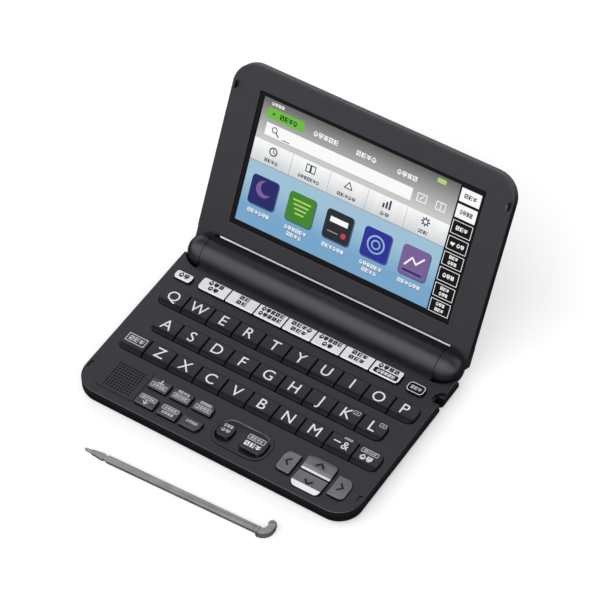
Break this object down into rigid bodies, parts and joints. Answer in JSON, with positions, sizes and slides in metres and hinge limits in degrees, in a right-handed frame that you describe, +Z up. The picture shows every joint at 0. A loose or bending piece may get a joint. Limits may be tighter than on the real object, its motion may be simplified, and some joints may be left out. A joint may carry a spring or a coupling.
{
  "type": "electronic dictionary",
  "caption": "Pocket electronic dictionary with a folding lid on a round hinge barrel, a bonded display, separate keys, a sliding battery cover and a loose stylus.",
  "frame": {"origin": "middle of the plan box of the open object with its stylus, on the table", "axes": "+X to the user's right along the hinge, +Y from the user towards the hinge, +Z up"},
  "size_m": [0.148, 0.1714, 0.0932],
  "materials": {
    "case_dark": "satin",
    "key_dark": "satin",
    "key_white": "satin",
    "key_silver": "satin",
    "display_glass": "gloss",
    "stylus_grey": "satin",
    "shaft_steel": "brushed",
    "cell_metal": "satin",
    "board_green": "matte"
  },
  "bodies": {
    "base": {"bottom_case": "case_dark", "keyboard_deck": "case_dark", "battery_cells": "cell_metal", "circuit_board": "board_green", "hinge_shafts": "shaft_steel"},
    "lid": {"lid_frame": "case_dark", "lid_back_cover": "case_dark", "display_panel": "display_glass"},
    "battery_cover": {"battery_cover": "case_dark"},
    "stylus": {"stylus": "stylus_grey"},
    "key_q": {"key_q": "key_dark"},
    "key_w": {"key_w": "key_dark"},
    "key_e": {"key_e": "key_dark"},
    "key_r": {"key_r": "key_dark"},
    "key_t": {"key_t": "key_dark"},
    "key_y": {"key_y": "key_dark"},
    "key_u": {"key_u": "key_dark"},
    "key_i": {"key_i": "key_dark"},
    "key_o": {"key_o": "key_dark"},
    "key_p": {"key_p": "key_dark"},
    "key_a": {"key_a": "key_dark"},
    "key_s": {"key_s": "key_dark"},
    "key_d": {"key_d": "key_dark"},
    "key_f": {"key_f": "key_dark"},
    "key_g": {"key_g": "key_dark"},
    "key_h": {"key_h": "key_dark"},
    "key_j": {"key_j": "key_dark"},
    "key_k": {"key_k": "key_dark"},
    "key_l": {"key_l": "key_dark"},
    "key_shift": {"key_shift": "key_dark"},
    "key_z": {"key_z": "key_dark"},
    "key_x": {"key_x": "key_dark"},
    "key_c": {"key_c": "key_dark"},
    "key_v": {"key_v": "key_dark"},
    "key_b": {"key_b": "key_dark"},
    "key_n": {"key_n": "key_dark"},
    "key_m": {"key_m": "key_dark"},
    "key_dash": {"key_dash": "key_dark"},
    "key_delete": {"key_delete": "key_dark"},
    "key_function_1": {"key_function_1": "key_white"},
    "key_function_2": {"key_function_2": "key_white"},
    "key_function_3": {"key_function_3": "key_white"},
    "key_function_4": {"key_function_4": "key_white"},
    "key_function_5": {"key_function_5": "key_white"},
    "key_function_6": {"key_function_6": "key_white"},
    "key_function_7": {"key_function_7": "key_white"},
    "key_power": {"key_power": "key_white"},
    "key_home": {"key_home": "key_dark"},
    "key_small_1": {"key_small_1": "key_silver"},
    "key_small_2": {"key_small_2": "key_silver"},
    "key_small_3": {"key_small_3": "key_silver"},
    "key_small_4": {"key_small_4": "key_silver"},
    "key_small_5": {"key_small_5": "key_silver"},
    "key_small_6": {"key_small_6": "key_silver"},
    "key_back": {"key_back": "key_dark"},
    "key_enter": {"key_enter": "key_dark"},
    "key_left": {"key_left": "key_silver"},
    "key_up": {"key_up": "key_silver"},
    "key_down": {"key_down": "key_silver"},
    "key_right": {"key_right": "key_silver"}
  },
  "joints": [
    {"name": "lid_hinge", "type": "hinge", "parent": "base", "child": "lid", "pos_m": [0, 0.03446, 0.0092], "axis": [1, 0, 0], "range_deg": [-32, 117.75]},
    {"name": "battery_cover_slide", "type": "slide", "parent": "base", "child": "battery_cover", "axis": [0, 1, 0], "range_m": [0, 0.014]},
    {"name": "stylus_lift", "type": "slide", "parent": "base", "child": "stylus", "axis": [0, 0, 1], "range_m": [0, 0.03]},
    {"name": "key_q_press", "type": "slide", "parent": "base", "child": "key_q", "axis": [0, 0, -1], "range_m": [0, 0.001], "stiffness_N_per_m": 400, "springref_m": -0.0002},
    {"name": "key_w_press", "type": "slide", "parent": "base", "child": "key_w", "axis": [0, 0, -1], "range_m": [0, 0.001], "stiffness_N_per_m": 400, "springref_m": -0.0002},
    {"name": "key_e_press", "type": "slide", "parent": "base", "child": "key_e", "axis": [0, 0, -1], "range_m": [0, 0.001], "stiffness_N_per_m": 400, "springref_m": -0.0002},
    {"name": "key_r_press", "type": "slide", "parent": "base", "child": "key_r", "axis": [0, 0, -1], "range_m": [0, 0.001], "stiffness_N_per_m": 400, "springref_m": -0.0002},
    {"name": "key_t_press", "type": "slide", "parent": "base", "child": "key_t", "axis": [0, 0, -1], "range_m": [0, 0.001], "stiffness_N_per_m": 400, "springref_m": -0.0002},
    {"name": "key_y_press", "type": "slide", "parent": "base", "child": "key_y", "axis": [0, 0, -1], "range_m": [0, 0.001], "stiffness_N_per_m": 400, "springref_m": -0.0002},
    {"name": "key_u_press", "type": "slide", "parent": "base", "child": "key_u", "axis": [0, 0, -1], "range_m": [0, 0.001], "stiffness_N_per_m": 400, "springref_m": -0.0002},
    {"name": "key_i_press", "type": "slide", "parent": "base", "child": "key_i", "axis": [0, 0, -1], "range_m": [0, 0.001], "stiffness_N_per_m": 400, "springref_m": -0.0002},
    {"name": "key_o_press", "type": "slide", "parent": "base", "child": "key_o", "axis": [0, 0, -1], "range_m": [0, 0.001], "stiffness_N_per_m": 400, "springref_m": -0.0002},
    {"name": "key_p_press", "type": "slide", "parent": "base", "child": "key_p", "axis": [0, 0, -1], "range_m": [0, 0.001], "stiffness_N_per_m": 400, "springref_m": -0.0002},
    {"name": "key_a_press", "type": "slide", "parent": "base", "child": "key_a", "axis": [0, 0, -1], "range_m": [0, 0.001], "stiffness_N_per_m": 400, "springref_m": -0.0002},
    {"name": "key_s_press", "type": "slide", "parent": "base", "child": "key_s", "axis": [0, 0, -1], "range_m": [0, 0.001], "stiffness_N_per_m": 400, "springref_m": -0.0002},
    {"name": "key_d_press", "type": "slide", "parent": "base", "child": "key_d", "axis": [0, 0, -1], "range_m": [0, 0.001], "stiffness_N_per_m": 400, "springref_m": -0.0002},
    {"name": "key_f_press", "type": "slide", "parent": "base", "child": "key_f", "axis": [0, 0, -1], "range_m": [0, 0.001], "stiffness_N_per_m": 400, "springref_m": -0.0002},
    {"name": "key_g_press", "type": "slide", "parent": "base", "child": "key_g", "axis": [0, 0, -1], "range_m": [0, 0.001], "stiffness_N_per_m": 400, "springref_m": -0.0002},
    {"name": "key_h_press", "type": "slide", "parent": "base", "child": "key_h", "axis": [0, 0, -1], "range_m": [0, 0.001], "stiffness_N_per_m": 400, "springref_m": -0.0002},
    {"name": "key_j_press", "type": "slide", "parent": "base", "child": "key_j", "axis": [0, 0, -1], "range_m": [0, 0.001], "stiffness_N_per_m": 400, "springref_m": -0.0002},
    {"name": "key_k_press", "type": "slide", "parent": "base", "child": "key_k", "axis": [0, 0, -1], "range_m": [0, 0.001], "stiffness_N_per_m": 400, "springref_m": -0.0002},
    {"name": "key_l_press", "type": "slide", "parent": "base", "child": "key_l", "axis": [0, 0, -1], "range_m": [0, 0.001], "stiffness_N_per_m": 400, "springref_m": -0.0002},
    {"name": "key_shift_press", "type": "slide", "parent": "base", "child": "key_shift", "axis": [0, 0, -1], "range_m": [0, 0.001], "stiffness_N_per_m": 400, "springref_m": -0.0002},
    {"name": "key_z_press", "type": "slide", "parent": "base", "child": "key_z", "axis": [0, 0, -1], "range_m": [0, 0.001], "stiffness_N_per_m": 400, "springref_m": -0.0002},
    {"name": "key_x_press", "type": "slide", "parent": "base", "child": "key_x", "axis": [0, 0, -1], "range_m": [0, 0.001], "stiffness_N_per_m": 400, "springref_m": -0.0002},
    {"name": "key_c_press", "type": "slide", "parent": "base", "child": "key_c", "axis": [0, 0, -1], "range_m": [0, 0.001], "stiffness_N_per_m": 400, "springref_m": -0.0002},
    {"name": "key_v_press", "type": "slide", "parent": "base", "child": "key_v", "axis": [0, 0, -1], "range_m": [0, 0.001], "stiffness_N_per_m": 400, "springref_m": -0.0002},
    {"name": "key_b_press", "type": "slide", "parent": "base", "child": "key_b", "axis": [0, 0, -1], "range_m": [0, 0.001], "stiffness_N_per_m": 400, "springref_m": -0.0002},
    {"name": "key_n_press", "type": "slide", "parent": "base", "child": "key_n", "axis": [0, 0, -1], "range_m": [0, 0.001], "stiffness_N_per_m": 400, "springref_m": -0.0002},
    {"name": "key_m_press", "type": "slide", "parent": "base", "child": "key_m", "axis": [0, 0, -1], "range_m": [0, 0.001], "stiffness_N_per_m": 400, "springref_m": -0.0002},
    {"name": "key_dash_press", "type": "slide", "parent": "base", "child": "key_dash", "axis": [0, 0, -1], "range_m": [0, 0.001], "stiffness_N_per_m": 400, "springref_m": -0.0002},
    {"name": "key_delete_press", "type": "slide", "parent": "base", "child": "key_delete", "axis": [0, 0, -1], "range_m": [0, 0.001], "stiffness_N_per_m": 400, "springref_m": -0.0002},
    {"name": "key_function_1_press", "type": "slide", "parent": "base", "child": "key_function_1", "axis": [0, 0, -1], "range_m": [0, 0.001], "stiffness_N_per_m": 400, "springref_m": -0.0002},
    {"name": "key_function_2_press", "type": "slide", "parent": "base", "child": "key_function_2", "axis": [0, 0, -1], "range_m": [0, 0.001], "stiffness_N_per_m": 400, "springref_m": -0.0002},
    {"name": "key_function_3_press", "type": "slide", "parent": "base", "child": "key_function_3", "axis": [0, 0, -1], "range_m": [0, 0.001], "stiffness_N_per_m": 400, "springref_m": -0.0002},
    {"name": "key_function_4_press", "type": "slide", "parent": "base", "child": "key_function_4", "axis": [0, 0, -1], "range_m": [0, 0.001], "stiffness_N_per_m": 400, "springref_m": -0.0002},
    {"name": "key_function_5_press", "type": "slide", "parent": "base", "child": "key_function_5", "axis": [0, 0, -1], "range_m": [0, 0.001], "stiffness_N_per_m": 400, "springref_m": -0.0002},
    {"name": "key_function_6_press", "type": "slide", "parent": "base", "child": "key_function_6", "axis": [0, 0, -1], "range_m": [0, 0.001], "stiffness_N_per_m": 400, "springref_m": -0.0002},
    {"name": "key_function_7_press", "type": "slide", "parent": "base", "child": "key_function_7", "axis": [0, 0, -1], "range_m": [0, 0.001], "stiffness_N_per_m": 400, "springref_m": -0.0002},
    {"name": "key_power_press", "type": "slide", "parent": "base", "child": "key_power", "axis": [0, 0, -1], "range_m": [0, 0.001], "stiffness_N_per_m": 400, "springref_m": -0.0002},
    {"name": "key_home_press", "type": "slide", "parent": "base", "child": "key_home", "axis": [0, 0, -1], "range_m": [0, 0.001], "stiffness_N_per_m": 400, "springref_m": -0.0002},
    {"name": "key_small_1_press", "type": "slide", "parent": "base", "child": "key_small_1", "axis": [0, 0, -1], "range_m": [0, 0.001], "stiffness_N_per_m": 400, "springref_m": -0.0002},
    {"name": "key_small_2_press", "type": "slide", "parent": "base", "child": "key_small_2", "axis": [0, 0, -1], "range_m": [0, 0.001], "stiffness_N_per_m": 400, "springref_m": -0.0002},
    {"name": "key_small_3_press", "type": "slide", "parent": "base", "child": "key_small_3", "axis": [0, 0, -1], "range_m": [0, 0.001], "stiffness_N_per_m": 400, "springref_m": -0.0002},
    {"name": "key_small_4_press", "type": "slide", "parent": "base", "child": "key_small_4", "axis": [0, 0, -1], "range_m": [0, 0.001], "stiffness_N_per_m": 400, "springref_m": -0.0002},
    {"name": "key_small_5_press", "type": "slide", "parent": "base", "child": "key_small_5", "axis": [0, 0, -1], "range_m": [0, 0.001], "stiffness_N_per_m": 400, "springref_m": -0.0002},
    {"name": "key_small_6_press", "type": "slide", "parent": "base", "child": "key_small_6", "axis": [0, 0, -1], "range_m": [0, 0.001], "stiffness_N_per_m": 400, "springref_m": -0.0002},
    {"name": "key_back_press", "type": "slide", "parent": "base", "child": "key_back", "axis": [0, 0, -1], "range_m": [0, 0.001], "stiffness_N_per_m": 400, "springref_m": -0.0002},
    {"name": "key_enter_press", "type": "slide", "parent": "base", "child": "key_enter", "axis": [0, 0, -1], "range_m": [0, 0.001], "stiffness_N_per_m": 400, "springref_m": -0.0002},
    {"name": "key_left_press", "type": "slide", "parent": "base", "child": "key_left", "axis": [0, 0, -1], "range_m": [0, 0.001], "stiffness_N_per_m": 400, "springref_m": -0.0002},
    {"name": "key_up_press", "type": "slide", "parent": "base", "child": "key_up", "axis": [0, 0, -1], "range_m": [0, 0.001], "stiffness_N_per_m": 400, "springref_m": -0.0002},
    {"name": "key_down_press", "type": "slide", "parent": "base", "child": "key_down", "axis": [0, 0, -1], "range_m": [0, 0.001], "stiffness_N_per_m": 400, "springref_m": -0.0002},
    {"name": "key_right_press", "type": "slide", "parent": "base", "child": "key_right", "axis": [0, 0, -1], "range_m": [0, 0.001], "stiffness_N_per_m": 400, "springref_m": -0.0002}
  ]
}
